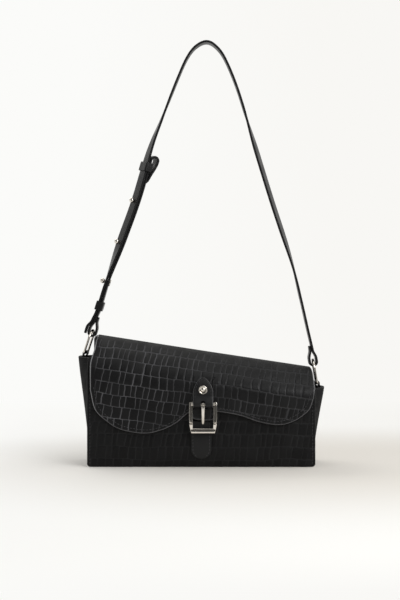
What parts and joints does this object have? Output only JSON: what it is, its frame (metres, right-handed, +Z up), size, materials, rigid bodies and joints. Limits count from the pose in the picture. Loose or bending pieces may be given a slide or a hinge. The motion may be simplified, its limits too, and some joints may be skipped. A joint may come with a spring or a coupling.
{
  "type": "crossbody bag",
  "caption": "Slim crossbody bag with a slanting top, lobed buckle-front flap, bowed side panels, D-rings and an adjustable studded shoulder strap.",
  "frame": {"origin": "centre of the flat base", "axes": "+Z up, +X to the right as seen from the front, -Y out of the flap's front"},
  "size_m": [0.31, 0.0895, 0.5314],
  "materials": {
    "croc_leather": "semi-gloss, crocodile embossed",
    "smooth_leather": "semi-gloss, smooth",
    "lining": "matt woven",
    "board": "pressed fibre board",
    "metal": "polished nickel plate"
  },
  "bodies": {
    "bag": {"front_panel": "croc_leather", "back_panel": "croc_leather", "gusset_left": "croc_leather", "gusset_right": "croc_leather", "lining": "lining", "base_board": "board", "inner_pocket": "lining", "ring_tab_left": "smooth_leather", "ring_tab_right": "smooth_leather", "d_ring_left": "metal", "d_ring_right": "metal", "front_tab": "smooth_leather", "snap_socket": "metal"},
    "flap": {"flap": "croc_leather", "flap_lining": "lining", "buckle_tongue": "smooth_leather", "tongue_rivet": "metal", "snap_stud": "metal"},
    "buckle_frame": {"buckle_frame": "metal"},
    "buckle_prong": {"buckle_prong": "metal"},
    "strap": {"strap_long": "smooth_leather", "strap_short": "smooth_leather", "keeper_upper": "smooth_leather", "strap_stud_1": "metal", "strap_stud_2": "metal", "strap_stud_3": "metal"},
    "lower_keeper": {"keeper_lower": "smooth_leather"}
  },
  "joints": [
    {"name": "flap_hinge", "type": "hinge", "parent": "bag", "child": "flap", "pos_m": [0, -0.0105, 0.13396], "axis": [-0.9907, 0, 0.1358], "range_deg": [0, 105]},
    {"name": "frame_hinge", "type": "hinge", "parent": "flap", "child": "buckle_frame", "pos_m": [0.0022, -0.0483, 0.0778], "axis": [-1, 0, 0], "range_deg": [0, 90]},
    {"name": "prong_hinge", "type": "hinge", "parent": "flap", "child": "buckle_prong", "pos_m": [0.0022, -0.0483, 0.0778], "axis": [-1, 0, 0], "range_deg": [0, 90]},
    {"name": "strap_swing", "type": "hinge", "parent": "bag", "child": "strap", "pos_m": [0.00133, 0.005, 0.13742], "axis": [0.9914, 0, -0.1312], "range_deg": [-20, 15]},
    {"name": "keeper_slide", "type": "slide", "parent": "strap", "child": "lower_keeper", "axis": [0.2983, 0, 0.9545], "range_m": [-0.004, 0.008]}
  ]
}
